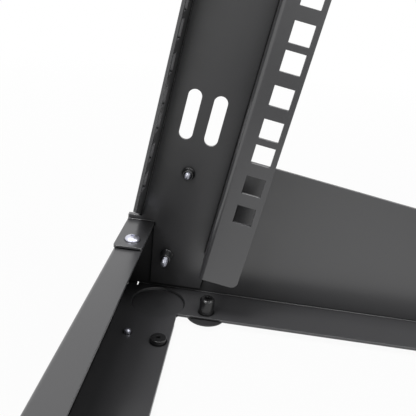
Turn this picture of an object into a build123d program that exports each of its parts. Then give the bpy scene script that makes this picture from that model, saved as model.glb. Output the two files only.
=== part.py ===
from build123d import *
from math import cos, radians, sin
import os

os.makedirs("parts", exist_ok=True)

# Sheets and bends
sheet = 1.5
beam_sheet = 1.5
bend_inside = 0.5
fit_gap = 0.3

# The rack opening: height units, hole spacing and the holes themselves
units = 8
unit_height = 44.45
hole_steps = (15.875, 15.875, 12.7)
hole_size = 9.5
hole_edge = 7.55
opening_width = 450.0

# Posts and rails: h runs back from the front face, s runs up the post from the first hole
lean = 9.0
post_width = 61.0
post_depth = 28.2
flange_margin = 12.0
flange_drop = 14.3
post_head = 25.0
rail_width = 20.0
rail_tail = 41.0
seat_reach = 14.0
rail_hole_edge = 7.4
rail_corner = 3.5
relief = 1.0

# Slots and screws in the post's web
slot_length = 27.0
slot_width = 7.2
slot_rise = 33.9
slot_setback = 20.6
slot_pitch = 13.6
screw_hole = 4.3
screw_setback = 20.7
upper_screw_s = 2.7
lower_screw_s = -48.1

# Base: side panels and beams
base_depth = 303.0
front_gap = 10.35
first_hole_height = 72.25
panel_rise = 18.0
strip_setback = 8.0
strip_inset = 3.0
tongue_reach = 92.0
beam_height = 39.6
beam_top_width = 14.5
beam_foot_width = 34.5
beam_foot_gap = 4.2
tab_reach = 5.6
tab_corner = 1.5
tab_step = 4.0
web_clearance = 2.5

# Pressed dish in the strip's corner, and the screws beside it
dish_radius = 15.0
dish_floor_radius = 14.6
dish_depth = 1.4
dish_dimple_radius = 3.0
dish_dimple_depth = 0.6
dish_setback = 22.6
dish_inset = 12.5
tab_screw_setback = 8.0
tab_screw_inset = 3.0
tongue_screw_setback = 29.0
tongue_screw_inset = 23.3

# Feet
foot_height = 4.0
foot_radius = 10.8
foot_flat_radius = 5.5
foot_rim = 0.6
stud_radius = 4.0
stud_rise = 9.0
stud_chamfer = 1.0
stud_clearance = 0.1
foot_setback = 49.9
foot_inset = 8.9

# Top beam
top_beam_drop = 22.0
ear_margin = 3.0

# Places worked out from the sizes above
half_opening = opening_width / 2
hole_x = half_opening + hole_edge
web_inner = half_opening + post_depth
web_outer = web_inner + sheet
panel_inner = web_outer
half_depth = base_depth / 2
strip_top = foot_height + sheet
post_front_y = -half_depth + front_gap
post_front_z = strip_top + first_hole_height
hole_total = units * unit_height - hole_steps[2]
flange_low = -flange_drop
flange_high = hole_total + flange_margin
head_s = flange_high + post_head
bend_outside = bend_inside + sheet
seat_back = post_width - rail_width + 2 * sheet
seat_low = -rail_tail
bend_middle = bend_inside + sheet / 2
beam_bend_middle = bend_inside + beam_sheet / 2
tab_bottom = strip_top + beam_height
tab_top = tab_bottom + sheet
tab_back = half_depth - beam_top_width - fit_gap
tab_inner = half_opening - tab_reach
strip_inner = half_opening + strip_inset

lean_sin = sin(radians(lean))
lean_cos = cos(radians(lean))
back_direction = (0, lean_cos, -lean_sin)
up_direction = (0, lean_sin, lean_cos)


def rack_place(h, s):
    """Turn the post's own h and s into the rack's Y and Z."""
    y = post_front_y + h * lean_cos + s * lean_sin
    z = post_front_z - h * lean_sin + s * lean_cos
    return (y, z)


def post_place(y, z):
    """Turn the rack's Y and Z into the post's own h and s."""
    dy = y - post_front_y
    dz = z - post_front_z
    return (dy * lean_cos - dz * lean_sin, dy * lean_sin + dz * lean_cos)


def level_on_post(h, z):
    """Find s where the line h along the post reaches the height z."""
    return (z - post_front_z + h * lean_sin) / lean_cos


def section_plane(s):
    """The post's cross-section at s: x runs back, y runs outboard on the left."""
    return Plane(origin=(0, *rack_place(0, s)), x_dir=back_direction, z_dir=up_direction)


def post_side_plane(outboard):
    """A plane along the left post: x runs back, y runs up the post."""
    return Plane(origin=(-outboard, post_front_y, post_front_z), x_dir=back_direction, z_dir=(1, 0, 0))


def post_front_plane():
    """The face of the posts' front flanges: x runs outboard on the left, y runs up the post."""
    return Plane(origin=(0, post_front_y, post_front_z), x_dir=(-1, 0, 0), z_dir=back_direction)


def side_plane(outboard):
    """A plane along the left side: x is the rack's Y, y is its Z."""
    return Plane(origin=(-outboard, 0, 0), x_dir=(0, 1, 0), z_dir=(1, 0, 0))


def hole_levels():
    """Heights of the square holes up the post, from the first one."""
    levels = []
    level = 0
    for unit in range(units):
        for step in hole_steps:
            levels.append(level)
            level += step
    return levels


def tab_route(wall_middle, wall_end):
    """Corners of a tab's middle line, bent inboard from a wall over a beam's top."""
    tab_middle = tab_bottom + sheet / 2
    return [(-wall_middle, wall_end), (-wall_middle, tab_middle), (-tab_inner, tab_middle)]


# Places on the base's left side: outboard from the middle, and out along the depth
post_screws = [(screw_setback, upper_screw_s), (screw_setback, lower_screw_s)]
tab_screw = (half_opening + tab_screw_inset, half_depth - tab_screw_setback)
tongue_screw = (half_opening - tongue_screw_inset, half_depth - tongue_screw_setback)
foot_place = (half_opening + foot_inset, half_depth - foot_setback)
dish_place = (half_opening + dish_inset, half_depth - dish_setback)


# Post: a web with the cable slots, a front flange with the square holes and a slanted lower end, a
# rear flange that seats the side rail, and a foot tab
web_bottom = strip_top + web_clearance
web_step = tab_bottom + tab_step
web_tab_edge = tab_top + bend_inside
flange_foot = level_on_post(0, web_step) + relief
web_outline = [
    post_place(-tab_back, web_bottom),
    (seat_back, level_on_post(seat_back, web_bottom)),
    (seat_back, seat_low - relief),
    (seat_back - bend_outside, seat_low - relief),
    (seat_back - bend_outside, flange_high + relief),
    (post_width, flange_high + relief),
    (post_width, head_s),
    (0, head_s),
    (0, flange_high + relief),
    (bend_outside, flange_high + relief),
    (bend_outside, level_on_post(bend_outside, web_step)),
    post_place(-half_depth, web_step),
    post_place(-half_depth, web_tab_edge),
    post_place(-tab_back, web_tab_edge),
]
flange_corner = [
    (half_opening, flange_foot),
    (web_inner - bend_inside, flange_foot),
    (half_opening, flange_low),
]
with BuildPart() as left_post:
    with BuildSketch(post_side_plane(web_inner)):
        with BuildLine():
            Polyline(*web_outline, close=True)
        make_face()
        with Locations((slot_setback, slot_rise), (slot_setback, hole_total - slot_rise)):
            with GridLocations(slot_pitch, 1, 2, 1):
                SlotOverall(slot_length, slot_width, rotation=90, mode=Mode.SUBTRACT)
        with Locations(*post_screws):
            Circle(screw_hole / 2, mode=Mode.SUBTRACT)
    extrude(amount=-sheet)
    with BuildSketch(section_plane(flange_foot)):
        with BuildLine():
            FilletPolyline(
                (sheet / 2, half_opening),
                (sheet / 2, web_inner + sheet / 2),
                (bend_outside + sheet, web_inner + sheet / 2),
                radius=bend_middle,
            )
        trace(line_width=sheet)
    extrude(amount=flange_high - flange_foot)
    with BuildSketch(section_plane(seat_low)):
        with BuildLine():
            FilletPolyline(
                (seat_back - sheet / 2, web_inner - seat_reach),
                (seat_back - sheet / 2, web_inner + sheet / 2),
                (seat_back - bend_outside - sheet, web_inner + sheet / 2),
                radius=bend_middle,
            )
        trace(line_width=sheet)
    extrude(amount=flange_high - seat_low)
    with BuildSketch(Plane.XZ.offset(half_depth)):
        with BuildLine():
            FilletPolyline(*tab_route(web_inner + sheet / 2, web_step), radius=bend_middle)
        trace(line_width=sheet)
    extrude(amount=tab_back - half_depth)
    fillet(left_post.edges().filter_by(Axis.Z).group_by(Axis.X)[-1], radius=tab_corner)
    with BuildSketch(Plane.XY.offset(tab_top)):
        with Locations((-tab_screw[0], -tab_screw[1])):
            Circle(screw_hole / 2)
    extrude(amount=-sheet, mode=Mode.SUBTRACT)
    with BuildSketch(post_front_plane()):
        with Locations(*[(hole_x, level) for level in hole_levels()]):
            Rectangle(hole_size, hole_size)
        with BuildLine():
            Polyline(*flange_corner, close=True)
        make_face()
    extrude(amount=sheet, mode=Mode.SUBTRACT)

with BuildPart() as right_post:
    mirror(left_post.part, about=Plane.YZ)


# Side rail: an angle on the post's rear flange, whose lip carries the row of square holes
rail_front = post_width - rail_width + sheet / 2
with BuildPart() as left_side_rail:
    with BuildSketch(section_plane(seat_low)):
        with BuildLine():
            FilletPolyline(
                (rail_front, web_inner - bend_inside - fit_gap),
                (rail_front, half_opening + sheet / 2),
                (post_width, half_opening + sheet / 2),
                radius=bend_middle,
            )
        trace(line_width=sheet)
    extrude(amount=flange_high - seat_low)
    rail_edges = left_side_rail.edges().filter_by(Axis.X)
    free_corners = [rail_edges.sort_by(Axis.Z)[0], rail_edges.sort_by(Axis.Y)[-1]]
    fillet(free_corners, radius=rail_corner)
    with BuildSketch(post_side_plane(half_opening)):
        with Locations(*[(post_width - rail_hole_edge, level) for level in hole_levels()]):
            Rectangle(hole_size, hole_size)
    extrude(amount=-sheet, mode=Mode.SUBTRACT)

with BuildPart() as right_side_rail:
    mirror(left_side_rail.part, about=Plane.YZ)


# Side panel: a plate with a bottom strip, and a tongue, dish and foot hole at each end
panel_bottom = strip_top + bend_inside
rear_top_h = (tab_back - relief - post_front_y - panel_rise * lean_sin) / lean_cos
rear_step = tab_bottom - bend_inside
strip_end = half_depth - strip_setback
strip_flat = panel_inner - bend_inside - strip_inner
tongue_end = half_depth - beam_sheet - bend_inside - fit_gap
tongue_back = half_depth - beam_foot_width
notch_end = strip_end + relief
top_centred = (Align.CENTER, Align.CENTER, Align.MAX)
panel_outline = [
    (-half_depth, foot_height),
    (-half_depth, web_step),
    rack_place(0, level_on_post(0, web_step)),
    rack_place(0, panel_rise),
    rack_place(rear_top_h, panel_rise),
    (tab_back - relief, rear_step),
    (half_depth, rear_step),
    (half_depth, foot_height),
    (notch_end, foot_height),
    (notch_end, panel_bottom),
    (-notch_end, panel_bottom),
    (-notch_end, foot_height),
]
with BuildPart() as left_side_panel:
    with BuildSketch(side_plane(panel_inner)):
        with BuildLine():
            Polyline(*panel_outline, close=True)
        make_face()
        with Locations(*[rack_place(*place) for place in post_screws]):
            Circle(screw_hole / 2, mode=Mode.SUBTRACT)
    extrude(amount=-sheet)
    with BuildSketch(Plane.XZ.offset(-strip_end)):
        with BuildLine():
            FilletPolyline(
                (-panel_inner - sheet / 2, panel_bottom + sheet),
                (-panel_inner - sheet / 2, strip_top - sheet / 2),
                (-strip_inner, strip_top - sheet / 2),
                radius=bend_middle,
            )
        trace(line_width=sheet)
    extrude(amount=2 * strip_end)
    with BuildSketch(Plane.XZ.offset(-half_depth)):
        with BuildLine():
            FilletPolyline(*tab_route(panel_inner + sheet / 2, rear_step - sheet), radius=bend_middle)
        trace(line_width=sheet)
    extrude(amount=half_depth - tab_back)
    fillet(left_side_panel.edges().filter_by(Axis.Z).group_by(Axis.X)[-1], radius=tab_corner)
    for end in (-1, 1):
        with BuildSketch(Plane.XY.offset(foot_height)):
            with Locations((-strip_inner, end * (tongue_end + tongue_back) / 2)):
                Rectangle(tongue_reach, tongue_end - tongue_back, align=(Align.MIN, Align.CENTER))
            with Locations((-strip_inner, end * (tongue_end + strip_end) / 2)):
                Rectangle(strip_flat, tongue_end - strip_end, align=(Align.MAX, Align.CENTER))
            with Locations((-strip_inner - strip_flat, end * (strip_end + notch_end) / 2)):
                Rectangle(bend_outside, relief, align=(Align.MIN, Align.CENTER), mode=Mode.SUBTRACT)
        extrude(amount=sheet)
        for level, mode in ((foot_height, Mode.ADD), (strip_top, Mode.SUBTRACT)):
            with Locations((-dish_place[0], end * dish_place[1], level)):
                Cone(dish_floor_radius, dish_radius, dish_depth, align=top_centred, mode=mode)
            with Locations((-dish_place[0], end * dish_place[1], level - dish_depth)):
                Cone(dish_dimple_radius, dish_floor_radius, dish_dimple_depth, align=top_centred, mode=mode)
        with BuildSketch(Plane.XY.offset(strip_top)):
            with Locations((-tongue_screw[0], end * tongue_screw[1])):
                Circle(screw_hole / 2)
            with Locations((-foot_place[0], end * foot_place[1])):
                Circle(stud_radius + stud_clearance)
        extrude(amount=-sheet, mode=Mode.SUBTRACT)
    with BuildSketch(Plane.XY.offset(tab_top)):
        with Locations((-tab_screw[0], tab_screw[1])):
            Circle(screw_hole / 2)
    extrude(amount=-sheet, mode=Mode.SUBTRACT)

with BuildPart() as right_side_panel:
    mirror(left_side_panel.part, about=Plane.YZ)


# Base beam: a channel open to the inside, whose foot flange lies under the tongues
beam_half = panel_inner - bend_inside
beam_foot_half = half_opening - beam_foot_gap
beam_foot_front = half_depth - bend_inside - 2 * beam_sheet
foot_cut = beam_half - beam_foot_half
foot_cut_depth = beam_foot_front - tongue_back
with BuildPart() as front_beam:
    with BuildSketch(Plane.YZ):
        with BuildLine():
            FilletPolyline(
                (-tongue_back, foot_height - beam_sheet / 2),
                (-half_depth + beam_sheet / 2, foot_height - beam_sheet / 2),
                (-half_depth + beam_sheet / 2, tab_bottom - beam_sheet / 2),
                (-half_depth + beam_top_width, tab_bottom - beam_sheet / 2),
                radius=beam_bend_middle,
            )
        trace(line_width=beam_sheet)
    extrude(amount=beam_half, both=True)
    with BuildSketch(Plane.XY.offset(foot_height)):
        with Locations((0, -(beam_foot_front + tongue_back) / 2)):
            with GridLocations(beam_half + beam_foot_half, 1, 2, 1):
                Rectangle(foot_cut, foot_cut_depth)
    extrude(amount=-beam_sheet, mode=Mode.SUBTRACT)

with BuildPart() as rear_beam:
    mirror(front_beam.part, about=Plane.XZ)


# Top beam: an open tray between the posts' heads, with an ear bent down at each end
with BuildPart() as top_beam:
    with BuildSketch(post_side_plane(0)):
        with BuildLine():
            FilletPolyline(
                (beam_sheet / 2, head_s - top_beam_drop),
                (beam_sheet / 2, head_s - beam_sheet / 2),
                (post_width - beam_sheet / 2, head_s - beam_sheet / 2),
                (post_width - beam_sheet / 2, head_s - top_beam_drop),
                radius=beam_bend_middle,
            )
        trace(line_width=beam_sheet)
    extrude(amount=web_inner, both=True)
    ear_width = post_width - 2 * (beam_sheet + ear_margin)
    with BuildSketch(post_side_plane(web_inner)):
        with Locations((post_width / 2, head_s)):
            Rectangle(ear_width, top_beam_drop, align=(Align.CENTER, Align.MAX))
    left_ear = extrude(amount=beam_sheet)
    mirror(left_ear, about=Plane.YZ)


# Feet: a threaded stud that stands on a low glide with a tapered underside
def glide(x, y):
    """The glide, turned about the stud's axis."""
    seat = Plane(origin=(x, y, 0), x_dir=(1, 0, 0), z_dir=(0, -1, 0))
    with BuildPart() as pad:
        with BuildSketch(seat):
            with BuildLine():
                Polyline(
                    (0, 0),
                    (foot_flat_radius, 0),
                    (foot_radius, foot_height - foot_rim),
                    (foot_radius, foot_height),
                    (0, foot_height),
                    close=True,
                )
            make_face()
        revolve(axis=Axis((x, y, 0), (0, 0, 1)))
    return pad.part


def stud(x, y):
    """The headless stud, which passes through the strip and is chamfered at its top."""
    with BuildPart() as pin:
        with BuildSketch(Plane(origin=(x, y, foot_height))):
            Circle(stud_radius)
        extrude(amount=sheet + stud_rise)
        chamfer(pin.faces().sort_by(Axis.Z)[-1].edges(), length=stud_chamfer)
    return pin.part


pieces = {
    "left_post": left_post.part,
    "right_post": right_post.part,
    "left_side_rail": left_side_rail.part,
    "right_side_rail": right_side_rail.part,
    "left_side_panel": left_side_panel.part,
    "right_side_panel": right_side_panel.part,
    "front_beam": front_beam.part,
    "rear_beam": rear_beam.part,
    "top_beam": top_beam.part,
}
for side, across in (("left", -1), ("right", 1)):
    for end, along in (("front", -1), ("rear", 1)):
        x = across * foot_place[0]
        y = along * foot_place[1]
        pieces[f"{end}_{side}_foot_glide"] = glide(x, y)
        pieces[f"{end}_{side}_foot_stud"] = stud(x, y)

for name, piece in pieces.items():
    piece.label = name
    export_step(piece, f"parts/{name}.step")
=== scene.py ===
import math

import bmesh
import bpy
from mathutils import Matrix, Vector


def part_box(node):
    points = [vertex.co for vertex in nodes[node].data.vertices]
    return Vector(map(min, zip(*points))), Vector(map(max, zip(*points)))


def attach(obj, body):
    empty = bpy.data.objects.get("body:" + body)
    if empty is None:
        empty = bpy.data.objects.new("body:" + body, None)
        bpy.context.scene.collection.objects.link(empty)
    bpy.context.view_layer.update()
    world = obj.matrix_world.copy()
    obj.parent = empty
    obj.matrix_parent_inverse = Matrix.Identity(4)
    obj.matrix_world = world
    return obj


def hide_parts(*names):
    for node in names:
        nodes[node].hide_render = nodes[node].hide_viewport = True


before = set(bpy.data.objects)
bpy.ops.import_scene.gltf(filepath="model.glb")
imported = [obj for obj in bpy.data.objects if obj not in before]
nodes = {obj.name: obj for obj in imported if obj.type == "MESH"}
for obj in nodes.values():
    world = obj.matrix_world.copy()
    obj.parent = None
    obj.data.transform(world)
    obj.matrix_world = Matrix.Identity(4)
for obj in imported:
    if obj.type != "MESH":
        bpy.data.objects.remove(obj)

mm = 0.001
scene = bpy.context.scene
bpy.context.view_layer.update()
print("frame loaded:", len(nodes), "nodes")


# Places on the rack, in mm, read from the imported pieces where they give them
def nodeBox(name):
    low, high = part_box(name)
    return Vector(low) / mm, Vector(high) / mm


panelHigh = nodeBox("right_side_panel")[1]
postHigh = nodeBox("right_post")[1]
glideHigh = nodeBox("front_left_foot_glide")[1]
studLow, studHigh = nodeBox("front_left_foot_stud")
sheet = 1.5
rack = {
    "sheet": sheet,
    "lean": math.radians(9.0),
    "halfDepth": panelHigh.y,
    "panelOuter": panelHigh.x,
    "webInner": postHigh.x - sheet,
    "stripTop": glideHigh.z + sheet,
    "beamTop": nodeBox("front_beam")[1].z,
    "halfOpening": nodeBox("right_side_rail")[0].x,
    # On the posts' front face, level with the lowest square hole
    "firstHole": Vector((0, -141.15, 77.75)),
}
backWay = Vector((0, math.cos(rack["lean"]), -math.sin(rack["lean"])))
upWay = Vector((0, math.sin(rack["lean"]), math.cos(rack["lean"])))
sides = {"left": -1, "right": 1}
ends = {"front": -1, "rear": 1}
up = (0, 0, 1)


def onPost(x, h, s):  # h runs back from the post's front face, s runs up it
    place = rack["firstHole"] + backWay * h + upWay * s
    place.x = x
    return place


# Colours and shader nodes
def toLinear(code):  # an sRGB hex colour as linear light
    channels = [int(code[i : i + 2], 16) / 255 for i in (1, 3, 5)]
    light = [c / 12.92 if c <= 0.04045 else ((c + 0.055) / 1.055) ** 2.4 for c in channels]
    return (*light, 1.0)


def addNode(tree, kind, settings=None, **inputs):  # adds a node, its settings and what feeds it
    node = tree.nodes.new("ShaderNode" + kind)
    for name, value in (settings or {}).items():
        setattr(node, name, value)
    for name, value in inputs.items():
        socket = node.inputs[int(name[1:]) if name[0] == "_" else name.replace("_", " ")]
        if isinstance(value, bpy.types.NodeSocket):
            tree.links.new(value, socket)
        else:
            socket.default_value = value
    return node


def newMaterial(name):
    material = bpy.data.materials.new(name)
    material.use_nodes = True
    tree = material.node_tree
    tree.nodes.clear()
    return material, tree


def perMetre(size):  # the scale that gives a noise cells of this size in mm
    return 1 / (size * mm)


# Powder coat: polyester powder baked on folded sheet, a satin black whose gloss carries most of
# its tone, so it darkens towards each corner; the skin has a faint orange peel; bends and edges
# are painted lighter, partly wear and partly a painted highlight, and inside corners and hollows
# get a painted shade that mixes them towards near black
powderCoat = {
    "body": "#38383a",
    "cloud": "#3d3d3e",
    # Lighter colour on edges and bends: partly wear, partly a painted highlight
    "edgeWearAndHighlight": "#8c8c8f",
    "roughness": (0.26, 0.33),
    "specular": 0.95,
    "peelSize": 1.6,  # real orange peel is about 1 mm across; drawn a little coarser to show
    "grainSize": 0.5,  # real powder grain is about 0.08 mm; too fine to show, so drawn coarser
    "cloudSize": 70.0,
    "peelHeight": 0.012,
    "grainHeight": 0.005,
    "edgeRadius": 0.35,
    "edgeShare": 0.65,
    # Cosine between the face's normal and the rounded one, where an edge starts and is full
    "edgeTurn": (0.97, 0.75),
    "edgeGloss": -0.1,  # what the edge mask of wear and painted highlight adds to the roughness
    # Near black that the painted shade in corners and hollows is mixed towards
    "paintedShade": "#070707",
    # Painted shade: reach in mm, the open share where it starts and ends, and how deep it is
    "paintedShadeReaches": (
        (2.0, 0.85, 0.6, 1.0),
        (30.0, 0.7, 0.25, 0.7),
    ),
    "paintedShadeSamples": 8,
}
bevelSamples = 6


def makePowderCoat():
    material, tree = newMaterial("powderCoatedSteel")
    place = addNode(tree, "TexCoord").outputs["Object"]
    cloud = addNode(
        tree, "TexNoise", Vector=place, Scale=perMetre(powderCoat["cloudSize"]), Detail=3.0
    )
    peel = addNode(
        tree, "TexNoise", Vector=place, Scale=perMetre(powderCoat["peelSize"]), Detail=1.0
    )
    grain = addNode(
        tree, "TexNoise", Vector=place, Scale=perMetre(powderCoat["grainSize"]), Detail=2.0
    )
    rounded = addNode(
        tree, "Bevel", {"samples": bevelSamples}, Radius=powderCoat["edgeRadius"] * mm
    )
    face = addNode(tree, "NewGeometry").outputs["Normal"]
    turned = addNode(
        tree, "VectorMath", {"operation": "DOT_PRODUCT"}, _0=rounded.outputs["Normal"], _1=face
    )
    start, full = powderCoat["edgeTurn"]
    edgeWearAndHighlight = addNode(
        tree, "MapRange", {"interpolation_type": "SMOOTHSTEP"},
        Value=turned.outputs["Value"], From_Min=start, From_Max=full, To_Min=0.0, To_Max=1.0,
    )
    body = addNode(
        tree, "Mix", {"data_type": "RGBA"},
        _0=cloud.outputs["Fac"], _6=toLinear(powderCoat["body"]), _7=toLinear(powderCoat["cloud"]),
    )
    # Painted shade: occlusion at a short and a long reach finds inside corners and hollows
    shadeDepths = []
    for reach, start, end, depth in powderCoat["paintedShadeReaches"]:
        clear = addNode(
            tree, "AmbientOcclusion", {"samples": powderCoat["paintedShadeSamples"]}, Distance=reach * mm
        ).outputs["AO"]
        shadeDepths.append(addNode(
            tree, "MapRange", {"interpolation_type": "SMOOTHSTEP"},
            Value=clear, From_Min=start, From_Max=end, To_Min=0.0, To_Max=depth,
        ).outputs["Result"])
    paintedShade = addNode(tree, "Math", {"operation": "MAXIMUM"}, _0=shadeDepths[0], _1=shadeDepths[1]).outputs[0]
    # Edges painted lighter, partly wear and partly a painted highlight, kept out of the painted
    # shade; the same mask makes them a little glossier
    outside = addNode(
        tree, "Math", {"operation": "SUBTRACT", "use_clamp": True},
        _0=powderCoat["edgeShare"], _1=paintedShade,
    )
    worn = addNode(
        tree, "Math", {"operation": "MULTIPLY"}, _0=edgeWearAndHighlight.outputs["Result"], _1=outside.outputs[0]
    )
    colour = addNode(
        tree, "Mix", {"data_type": "RGBA"},
        _0=worn.outputs[0], _6=body.outputs[2], _7=toLinear(powderCoat["edgeWearAndHighlight"]),
    )
    low, high = powderCoat["roughness"]
    gloss = addNode(tree, "MapRange", Value=cloud.outputs["Fac"], To_Min=low, To_Max=high)
    smoother = addNode(
        tree, "Math", {"operation": "MULTIPLY_ADD"},
        _0=worn.outputs[0], _1=powderCoat["edgeGloss"], _2=gloss.outputs["Result"],
    )
    peelBump = addNode(
        tree, "Bump", Height=peel.outputs["Fac"], Distance=powderCoat["peelHeight"] * mm,
        Strength=1.0, Normal=rounded.outputs["Normal"],
    )
    grainBump = addNode(
        tree, "Bump", Height=grain.outputs["Fac"], Distance=powderCoat["grainHeight"] * mm,
        Strength=1.0, Normal=peelBump.outputs["Normal"],
    )
    shader = addNode(
        tree, "BsdfPrincipled",
        Base_Color=colour.outputs[2], Roughness=smoother.outputs[0],
        Specular_IOR_Level=powderCoat["specular"], Normal=grainBump.outputs["Normal"],
    )
    # Painted shade: a near-black matt mixed in where the occlusion is deep
    paintedShadeShader = addNode(tree, "BsdfDiffuse", Color=toLinear(powderCoat["paintedShade"]))
    both = addNode(tree, "MixShader", _0=paintedShade, _1=shader.outputs[0], _2=paintedShadeShader.outputs[0])
    addNode(tree, "OutputMaterial", Surface=both.outputs[0])
    return material


# Blackened steel: oiled black oxide on turned steel, nearly black, with a tight highlight on
# each crest
blackOxide = {
    "body": "#0d0d0e",
    "rubbed": "#222223",
    "roughness": 0.26,
    "markSize": 0.48,  # real tool marks are about 0.12 mm apart; drawn four times coarser
    "markHeight": 0.006,
    "edgeRadius": 0.15,
}


def makeBlackOxide():
    material, tree = newMaterial("blackOxideSteel")
    place = addNode(tree, "TexCoord").outputs["Object"]
    marks = addNode(
        tree, "TexNoise", Vector=place, Scale=perMetre(blackOxide["markSize"]), Detail=3.0
    )
    rounded = addNode(
        tree, "Bevel", {"samples": bevelSamples}, Radius=blackOxide["edgeRadius"] * mm
    )
    tint = addNode(
        tree, "Mix", {"data_type": "RGBA"},
        _0=marks.outputs["Fac"], _6=toLinear(blackOxide["body"]), _7=toLinear(blackOxide["rubbed"]),
    )
    bump = addNode(
        tree, "Bump", Height=marks.outputs["Fac"], Distance=blackOxide["markHeight"] * mm,
        Normal=rounded.outputs["Normal"],
    )
    shader = addNode(
        tree, "BsdfPrincipled", Base_Color=tint.outputs[2], Metallic=0.0,
        Roughness=blackOxide["roughness"], Normal=bump.outputs["Normal"],
    )
    addNode(tree, "OutputMaterial", Surface=shader.outputs[0])
    return material


# Zinc plate: bright zinc on cold-headed screws, pale blue-grey and softly hazy
brightZinc = {
    "name": "zincPlatedSteel",
    "body": "#dcdde8",
    "haze": "#c6c7d4",
    "roughness": (0.34, 0.44),
    "hazeSize": 1.2,
    "hazeHeight": 0.004,
    "edgeRadius": 0.12,
}
# Dull zinc: the same plate on rolled threads and rivets, handled and a shade darker
dullZinc = {
    "name": "dullZincSteel",
    "body": "#b2b3bc",
    "haze": "#8f909a",
    "roughness": (0.3, 0.42),
    "hazeSize": 0.8,
    "hazeHeight": 0.004,
    "edgeRadius": 0.12,
}


def makeZincPlate(plate):
    material, tree = newMaterial(plate["name"])
    place = addNode(tree, "TexCoord").outputs["Object"]
    haze = addNode(tree, "TexNoise", Vector=place, Scale=perMetre(plate["hazeSize"]), Detail=4.0)
    tint = addNode(
        tree, "Mix", {"data_type": "RGBA"},
        _0=haze.outputs["Fac"], _6=toLinear(plate["body"]), _7=toLinear(plate["haze"]),
    )
    low, high = plate["roughness"]
    gloss = addNode(tree, "MapRange", Value=haze.outputs["Fac"], To_Min=low, To_Max=high)
    rounded = addNode(tree, "Bevel", {"samples": bevelSamples}, Radius=plate["edgeRadius"] * mm)
    bump = addNode(
        tree, "Bump", Height=haze.outputs["Fac"], Distance=plate["hazeHeight"] * mm,
        Normal=rounded.outputs["Normal"],
    )
    shader = addNode(
        tree, "BsdfPrincipled", Base_Color=tint.outputs[2], Metallic=1.0,
        Roughness=gloss.outputs["Result"], Normal=bump.outputs["Normal"],
    )
    addNode(tree, "OutputMaterial", Surface=shader.outputs[0])
    return material


# Nylon: injection moulded, black, with a fine spark-eroded grain that keeps it dull
nylon = {
    "body": "#1d1d1e",
    "worn": "#2c2c2d",
    "roughness": 0.5,
    "grainSize": 0.4,
    "grainHeight": 0.012,
    "edgeRadius": 0.4,
}


def makeNylon():
    material, tree = newMaterial("mouldedNylon")
    place = addNode(tree, "TexCoord").outputs["Object"]
    grain = addNode(tree, "TexNoise", Vector=place, Scale=perMetre(nylon["grainSize"]), Detail=2.0)
    tint = addNode(
        tree, "Mix", {"data_type": "RGBA"},
        _0=grain.outputs["Fac"], _6=toLinear(nylon["body"]), _7=toLinear(nylon["worn"]),
    )
    rounded = addNode(tree, "Bevel", {"samples": bevelSamples}, Radius=nylon["edgeRadius"] * mm)
    bump = addNode(
        tree, "Bump", Height=grain.outputs["Fac"], Distance=nylon["grainHeight"] * mm,
        Normal=rounded.outputs["Normal"],
    )
    shader = addNode(
        tree, "BsdfPrincipled", Base_Color=tint.outputs[2], Roughness=nylon["roughness"],
        Normal=bump.outputs["Normal"],
    )
    addNode(tree, "OutputMaterial", Surface=shader.outputs[0])
    return material


powderCoatedSteel = makePowderCoat()
blackOxideSteel = makeBlackOxide()
zincPlatedSteel = makeZincPlate(brightZinc)
dullZincSteel = makeZincPlate(dullZinc)
mouldedNylon = makeNylon()
for name, node in nodes.items():
    finish = powderCoatedSteel
    if name.endswith("_glide"):
        finish = mouldedNylon
    if name.endswith("_stud"):
        finish = blackOxideSteel
    for materialSlot in node.material_slots:
        materialSlot.material = finish
print("materials made")


# Meshes are drawn in mm about the Z axis, then scaled and turned to their place
def toPlace(place, axis):
    turn = Vector(up).rotation_difference(Vector(axis)).to_matrix().to_4x4()
    return Matrix.Translation(Vector(place) * mm) @ turn @ Matrix.Scale(mm, 4)


def newPiece(name, mesh, material, place, axis):
    mesh.transform(toPlace(place, axis))
    mesh.materials.clear()
    mesh.materials.append(material)
    piece = bpy.data.objects.new(name, mesh)
    scene.collection.objects.link(piece)
    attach(piece, "root")
    return piece


mergeReach = 0.0001  # joins a profile that ends where it began


def latheMesh(name, profile, segments):  # turns (radius, height) pairs about Z
    shape = bmesh.new()
    rings = []
    for radius, height in profile:
        if radius == 0:
            rings.append([shape.verts.new((0, 0, height))])
            continue
        turns = [2 * math.pi * i / segments for i in range(segments)]
        corners = [(radius * math.cos(a), radius * math.sin(a), height) for a in turns]
        rings.append([shape.verts.new(corner) for corner in corners])
    for lower, upper in zip(rings, rings[1:]):
        for i in range(segments):
            j = (i + 1) % segments
            below = (lower[i % len(lower)], lower[j % len(lower)])
            above = (upper[j % len(upper)], upper[i % len(upper)])
            shape.faces.new(list(dict.fromkeys(below + above)))  # a ring at the axis is one corner
    bmesh.ops.remove_doubles(shape, verts=shape.verts, dist=mergeReach)
    bmesh.ops.recalc_face_normals(shape, faces=shape.faces)
    mesh = bpy.data.meshes.new(name)
    shape.to_mesh(mesh)
    shape.free()
    return mesh


socketTurn = 0.13  # turns the socket's corners off the lathe's own lines, in radians
socketTaper = (1.06, 0.96)  # its width at the top and at the bottom, as shares of its reach
socketCorners = 6
socketRise = 1  # how far the plug stands out over the head, in mm


def socketCutter(reach, depth, top):  # a six-sided tapered plug that cuts the socket of a screw
    shape = bmesh.new()
    rings = []
    turns = [2 * math.pi / socketCorners * i + socketTurn for i in range(socketCorners)]
    for height, share in zip((top + socketRise, top - depth), socketTaper):
        wide = reach * share
        corners = [(wide * math.cos(a), wide * math.sin(a), height) for a in turns]
        rings.append([shape.verts.new(corner) for corner in corners])
    for i in range(socketCorners):
        j = (i + 1) % socketCorners
        shape.faces.new((rings[0][i], rings[0][j], rings[1][j], rings[1][i]))
    shape.faces.new(rings[0][::-1])
    shape.faces.new(rings[1])
    bmesh.ops.recalc_face_normals(shape, faces=shape.faces)
    mesh = bpy.data.meshes.new("cutter")
    shape.to_mesh(mesh)
    shape.free()
    return mesh


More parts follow.
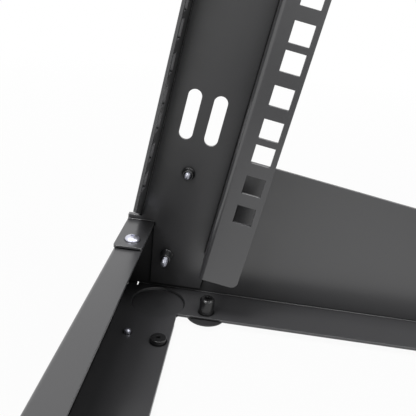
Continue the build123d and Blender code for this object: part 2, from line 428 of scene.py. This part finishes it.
def cutMesh(body, cutter, name):  # takes the cutter out of the body
    bodyObject = bpy.data.objects.new("body", body)
    cutterObject = bpy.data.objects.new("cutter", cutter)
    for thing in (bodyObject, cutterObject):
        scene.collection.objects.link(thing)
    cut = bodyObject.modifiers.new("recess", "BOOLEAN")
    cut.object = cutterObject
    cut.solver = "EXACT"
    cut.use_self = True
    bpy.context.view_layer.update()
    done = bodyObject.evaluated_get(bpy.context.evaluated_depsgraph_get())
    mesh = bpy.data.meshes.new_from_object(done)
    mesh.name = name
    for thing in (bodyObject, cutterObject):
        bpy.data.objects.remove(thing)
    return mesh


def smoothSides(mesh, degrees):  # rounds the shading, and keeps the edges sharper than this angle
    mesh.shade_smooth()
    mesh.set_sharp_from_angle(angle=math.radians(degrees))


# Screws: button heads in bright zinc on the tabs, and black pan heads on the tongues and panels
buttonHead = {"radius": 3.9, "height": 2.4, "rim": 0.3, "socket": (1.15, 1.3)}
panHead = {"radius": 3.95, "height": 2.6, "rim": 2.1, "socket": (1.2, 1.4)}
headSegments = 64
domeSteps = 10
footChamfer = 0.1
flatCrown = 0.1
sharpHead, sharpThread, sharpNut = 35, 40, 50  # edges sharper than this many degrees stay crisp


def headProfile(head):  # a short wall, then a quarter of an ellipse over the crown
    radius, height, rim = head["radius"], head["height"], head["rim"]
    profile = [(0, 0), (radius - footChamfer, 0), (radius, footChamfer), (radius, rim)]
    for step in range(1, domeSteps + 1):
        angle = math.pi / 2 * step / domeSteps
        profile.append((radius * math.cos(angle), rim + (height - rim) * math.sin(angle)))
    profile[-1] = (0, height)
    return profile


def flatHeadProfile(head):  # an upright wall with a rounded shoulder and a slightly crowned top
    radius, height, rim = head["radius"], head["height"], head["rim"]
    shoulder = height - rim - flatCrown
    profile = [(0, 0), (radius - footChamfer, 0), (radius, footChamfer), (radius, rim)]
    for step in range(1, domeSteps + 1):
        angle = math.pi / 2 * step / domeSteps
        inset = shoulder * (1 - math.cos(angle))
        profile.append((radius - inset, rim + shoulder * math.sin(angle)))
    profile.append((0, height))
    return profile


def headMesh(name, head, profile):
    reach, depth = head["socket"]
    body = latheMesh(name, profile, headSegments)
    mesh = cutMesh(body, socketCutter(reach, depth, head["height"]), name)
    smoothSides(mesh, sharpHead)
    return mesh


tabScrew = {"x": rack["halfOpening"] + 3.0, "y": rack["halfDepth"] - 8.0}
tongueScrew = {"x": rack["halfOpening"] - 23.3, "y": rack["halfDepth"] - 29.0}
for side, across in sides.items():
    for end, along in ends.items():
        place = (across * tabScrew["x"], along * tabScrew["y"], rack["beamTop"] + rack["sheet"])
        mesh = headMesh("tabScrew", buttonHead, headProfile(buttonHead))
        newPiece(f"{end}_{side}_tab_screw", mesh, zincPlatedSteel, place, up)
        place = (across * tongueScrew["x"], along * tongueScrew["y"], rack["stripTop"])
        mesh = headMesh("tongueScrew", panHead, flatHeadProfile(panHead))
        newPiece(f"{end}_{side}_tongue_screw", mesh, blackOxideSteel, place, up)
print("head screws made")


# Threads: a helix in the surface itself, with a chamfered end
postThread = {"radius": 1.8, "pitch": 0.6, "depth": 0.32, "chamfer": 0.5}
threadTurns = 40  # steps round one turn
threadRows = 10  # rows for each turn of the thread
crestShare, flankShare = 0.12, 0.76  # of half a pitch, flat at the crest and sloping to the root


def threadMesh(name, thread, length, crown):
    radius, pitch, depth = thread["radius"], thread["pitch"], thread["depth"]
    rows = int(length / pitch * threadRows)
    shape = bmesh.new()
    rings = []
    for row in range(rows + 1):
        height = length * row / rows
        ring = []
        for step in range(threadTurns):
            angle = 2 * math.pi * step / threadTurns
            turn = (height / pitch - step / threadTurns) % 1
            groove = max(0.0, min(1.0, (abs(turn - 0.5) * 2 - crestShare) / flankShare))
            top = radius - thread["chamfer"] * max(0.0, 1 - (length - height) / thread["chamfer"])
            reach = min(radius - depth * groove, top)
            ring.append(shape.verts.new((reach * math.cos(angle), reach * math.sin(angle), height)))
        rings.append(ring)
    for lower, upper in zip(rings, rings[1:]):
        for i in range(threadTurns):
            j = (i + 1) % threadTurns
            shape.faces.new((lower[i], lower[j], upper[j], upper[i]))
    crest = shape.verts.new((0, 0, length + crown))
    for i in range(threadTurns):
        shape.faces.new((rings[-1][i], rings[-1][(i + 1) % threadTurns], crest))
    shape.faces.new(rings[0][::-1])
    mesh = bpy.data.meshes.new(name)
    shape.to_mesh(mesh)
    shape.free()
    smoothSides(mesh, sharpThread)
    return mesh


# Foot studs: smooth turned steel with a chamfered top and a socket to turn it by
footStud = {
    "radius": (studHigh.x - studLow.x) / 2,
    "height": studHigh.z - studLow.z,
    "chamfer": 1.0,
    "socket": (1.45, 2.0),
    "footBevel": 0.3,
    "rounding": 0.1,  # softens both edges of the chamfer
    "roundMiddle": (0.06, 0.05),
}


def studProfile():
    radius, height, chamfer = (footStud[key] for key in ("radius", "height", "chamfer"))
    bevel, rounding = footStud["footBevel"], footStud["rounding"]
    inset, rise = footStud["roundMiddle"]
    return [
        (0, 0),
        (radius - bevel, 0),
        (radius, bevel),
        (radius, height - chamfer - rounding),
        (radius - inset, height - chamfer + rise),
        (radius - chamfer + rounding, height - rounding),
        (radius - chamfer - rounding, height),
        (0, height),
    ]


for side, across in sides.items():
    for end, along in ends.items():
        node = f"{end}_{side}_foot_stud"
        low, high = nodeBox(node)
        middle = (low + high) / 2
        mesh = headMesh("footStud", footStud, studProfile())
        place = (middle.x, middle.y, low.z)
        stud = newPiece(node + "_turned", mesh, blackOxideSteel, place, up)
        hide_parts(node)
print("foot studs made")


# Screws through each panel and web: a head outside, a pressed nut and the threaded end inside
postScrews = {
    "setback": 20.7,
    "levels": {  # level, length past the web, height of the nut
        "upper": (2.7, 5.6, 3.6),
        "lower": (-48.1, 12.2, 6.5),
    },
    "crown": 0.2,
}
pressedNut = {
    "bore": 2.15,
    "radius": 2.9,
    "foot": 3.5,
    "mouth": (0.15, 0.2),  # width and height of the chamfer at the bore's upper end
    "bevel": 0.3,
    "neck": 0.75,  # the height at which the wall starts to flare
    "flare": (0.2, 0.5),  # step out and height halfway down the flare
    "rim": (0.15, 0.4, 0.25),  # step in at the foot's edge, and the heights inside and outside it
}


def nutProfile(height):
    bore, radius, foot = (pressedNut[key] for key in ("bore", "radius", "foot"))
    mouthWidth, mouthHeight = pressedNut["mouth"]
    stepOut, stepHeight = pressedNut["flare"]
    rimInset, rimInner, rimOuter = pressedNut["rim"]
    return [
        (bore, 0.0),
        (bore, height - mouthHeight),
        (bore + mouthWidth, height),
        (radius - pressedNut["bevel"], height),
        (radius, height - pressedNut["bevel"]),
        (radius, pressedNut["neck"]),
        (radius + stepOut, stepHeight),
        (foot - rimInset, rimInner),
        (foot, rimOuter),
        (foot, 0.0),
        (bore, 0.0),
    ]


for side, across in sides.items():
    inward, outward = (-across, 0, 0), (across, 0, 0)
    for level, (s, length, nutHeight) in postScrews["levels"].items():
        screw = f"{side}_{level}_screw"
        inner = onPost(across * rack["webInner"], postScrews["setback"], s)
        outer = onPost(across * rack["panelOuter"], postScrews["setback"], s)
        mesh = threadMesh("postThread", postThread, length, postScrews["crown"])
        newPiece(screw + "_end", mesh, dullZincSteel, inner, inward)
        mesh = latheMesh("pressedNut", nutProfile(nutHeight), headSegments)
        smoothSides(mesh, sharpNut)
        newPiece(screw + "_nut", mesh, powderCoatedSteel, inner, inward)
        mesh = headMesh("postScrew", panHead, flatHeadProfile(panHead))
        newPiece(screw + "_head", mesh, blackOxideSteel, outer, outward)
print("post screws made")


# Rivet ends on the tongues, beside the pan heads
rivet = {
    "radius": 1.85,
    "height": 2.5,
    "rim": 1.0,
    "x": rack["halfOpening"] - 19.5,
    "y": rack["halfDepth"] - 12.6,
}
for side, across in sides.items():
    for end, along in ends.items():
        mesh = latheMesh("rivet", headProfile(rivet), headSegments)
        smoothSides(mesh, sharpHead)
        place = (across * rivet["x"], along * rivet["y"], rack["stripTop"])
        newPiece(f"{end}_{side}_tongue_rivet", mesh, dullZincSteel, place, up)
print("rivets made")


# Floor and light
floorMesh = bpy.data.meshes.new("floor")
floorShape = bmesh.new()
floorHalf, floorCells = 12.0, 8  # metres from the middle to an edge, and cells along a side
bmesh.ops.create_grid(floorShape, x_segments=floorCells, y_segments=floorCells, size=floorHalf)
floorShape.to_mesh(floorMesh)
floorShape.free()
floor = bpy.data.objects.new("floor", floorMesh)
scene.collection.objects.link(floor)

studio = {
    "floor": "#b4b4b4",
    "backdrop": "#ffffff",
    "floorLift": (0.95, 1.0),  # its own share of the floor's white, near the rack and far off
    "floorReach": (0.3, 1.1),  # metres from the rack's middle at which that starts and ends
    "dome": 0.1,  # strength of the even light from all round
    "lamps": {  # place and size in metres, then power
        "high": ((0.4, -0.7, 1.7), 0.6, 21.0),
        "top": ((0.1, 0.0, 1.6), 1.0, 13.0),
        "rear": ((0.2, 1.2, 1.4), 0.8, 9.0),
        "key": ((1.2, -0.8, 0.9), 0.6, 6.0),
        "side": ((1.2, 0.9, 1.0), 0.8, 3.0),
    },
    "aim": (-0.2, -0.05, 0.1),
}


def seenOrMirrored(tree):  # one for what the camera sees itself, in gloss or through glass
    path = addNode(tree, "LightPath")
    both = addNode(
        tree, "Math", {"operation": "MAXIMUM"},
        _0=path.outputs["Is Camera Ray"], _1=path.outputs["Is Glossy Ray"],
    )
    return addNode(
        tree, "Math", {"operation": "MAXIMUM"},
        _0=both.outputs[0], _1=path.outputs["Is Transmission Ray"],
    ).outputs[0]


def makeFloor():
    material, tree = newMaterial("paleFloor")
    place = addNode(tree, "TexCoord").outputs["Object"]
    away = addNode(tree, "VectorMath", {"operation": "LENGTH"}, _0=place).outputs["Value"]
    start, end = studio["floorReach"]
    under, far = studio["floorLift"]
    own = addNode(
        tree, "MapRange", Value=away, From_Min=start, From_Max=end, To_Min=under, To_Max=far
    )
    lift = addNode(
        tree, "Math", {"operation": "MULTIPLY"},
        _0=seenOrMirrored(tree), _1=own.outputs["Result"],
    )
    matt = addNode(tree, "BsdfDiffuse", Color=toLinear(studio["floor"]))
    glow = addNode(tree, "Emission", Color=toLinear(studio["backdrop"]), Strength=1.0)
    both = addNode(tree, "MixShader", _0=lift.outputs[0], _1=matt.outputs[0], _2=glow.outputs[0])
    addNode(tree, "OutputMaterial", Surface=both.outputs[0])
    return material


floorMesh.materials.append(makeFloor())
world = bpy.data.worlds.new("studio")
scene.world = world
world.use_nodes = True
sky = world.node_tree
sky.nodes.clear()
white = toLinear(studio["backdrop"])
dome = addNode(sky, "Background", Color=white, Strength=studio["dome"])
backdrop = addNode(sky, "Background", Color=white, Strength=1.0)
seen = seenOrMirrored(sky)
mixed = addNode(sky, "MixShader", _0=seen, _1=dome.outputs[0], _2=backdrop.outputs[0])
addNode(sky, "OutputWorld", Surface=mixed.outputs[0])


def addLamp(name, place, size, power):
    lamp = bpy.data.lights.new(name, "AREA")
    lamp.shape = "DISK"
    lamp.size = size
    lamp.energy = power
    holder = bpy.data.objects.new(name, lamp)
    holder.location = place
    beam = Vector(studio["aim"]) - Vector(place)
    holder.rotation_euler = beam.to_track_quat("-Z", "Y").to_euler()
    scene.collection.objects.link(holder)


for name, (place, size, power) in studio["lamps"].items():
    addLamp(name, place, size, power)
print("floor and lamps made")


# Camera: inside the rack, looking down at the foot of the left post
view = {
    "place": (35.3, -91.4, 182.3),
    "turn": (66.756, -5.83, 95.778),
    "lens": 50.0,
    "sensor": 36.0,
    "nearest": 0.005,  # metres from the lens at which things start to show
}
cameraData = bpy.data.cameras.new("camera")
cameraData.lens = view["lens"]
cameraData.sensor_width = view["sensor"]
cameraData.clip_start = view["nearest"]
camera = bpy.data.objects.new("camera", cameraData)
camera.location = Vector(view["place"]) * mm
camera.rotation_euler = [math.radians(angle) for angle in view["turn"]]
scene.collection.objects.link(camera)
scene.camera = camera
scene.view_settings.view_transform = "Standard"

print("scene ready")
